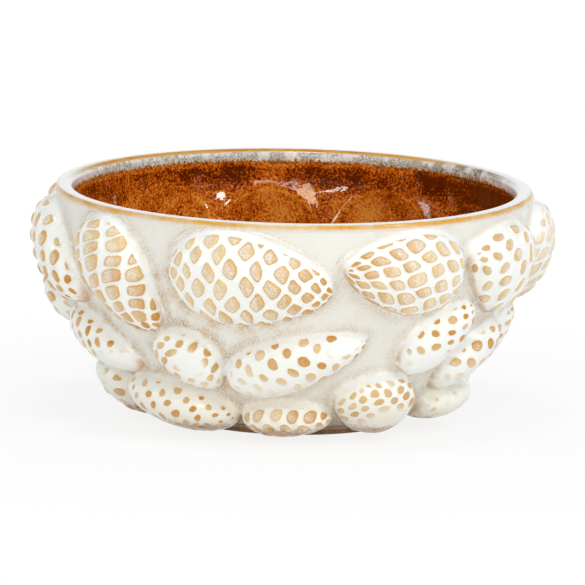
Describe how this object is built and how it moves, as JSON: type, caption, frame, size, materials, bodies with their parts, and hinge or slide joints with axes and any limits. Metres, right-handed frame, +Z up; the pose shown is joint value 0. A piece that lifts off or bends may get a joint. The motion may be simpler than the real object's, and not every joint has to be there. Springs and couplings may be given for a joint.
{
  "type": "bowl",
  "caption": "Round glazed stoneware bowl on a foot ring, its outside covered with pine cones in relief and its inside lined with amber glaze.",
  "frame": {"origin": "centre of the circle that the foot ring stands on, at table level", "axes": "+Z up along the bowl's axis; -Y is the side that the picture shows, and +X is to its right"},
  "size_m": [0.2253, 0.223, 0.1],
  "materials": {
    "wall_glaze": "pale grey-white glaze over the bare wall, finely speckled with tan",
    "lip_glaze": "thick white gloss glaze that breaks tan along the lip's outer corner",
    "cone_glaze": "white gloss glaze in the grooves, broken to tan on the raised scales",
    "amber_glaze": "deep amber-brown gloss glaze with fine dark and light speckle",
    "foot_clay": "tan-brown clay under a thin wiped glaze, unglazed where it stands"
  },
  "bodies": {
    "root": {"bowl_body": "wall_glaze", "rim_lip": "lip_glaze", "foot_ring": "foot_clay", "inner_glaze": "amber_glaze", "upper_cone_01": "cone_glaze", "upper_cone_02": "cone_glaze", "upper_cone_03": "cone_glaze", "upper_cone_04": "cone_glaze", "upper_cone_05": "cone_glaze", "upper_cone_06": "cone_glaze", "upper_cone_07": "cone_glaze", "upper_cone_08": "cone_glaze", "upper_cone_09": "cone_glaze", "upper_cone_10": "cone_glaze", "upper_cone_11": "cone_glaze", "middle_cone_01": "cone_glaze", "middle_cone_02": "cone_glaze", "middle_cone_03": "cone_glaze", "middle_cone_04": "cone_glaze", "middle_cone_05": "cone_glaze", "middle_cone_06": "cone_glaze", "middle_cone_07": "cone_glaze", "middle_cone_08": "cone_glaze", "middle_cone_09": "cone_glaze", "middle_cone_10": "cone_glaze", "middle_cone_11": "cone_glaze", "middle_cone_12": "cone_glaze", "lower_cone_01": "cone_glaze", "lower_cone_02": "cone_glaze", "lower_cone_03": "cone_glaze", "lower_cone_04": "cone_glaze", "lower_cone_05": "cone_glaze", "lower_cone_06": "cone_glaze", "lower_cone_07": "cone_glaze", "lower_cone_08": "cone_glaze", "lower_cone_09": "cone_glaze"}
  },
  "joints": []
}
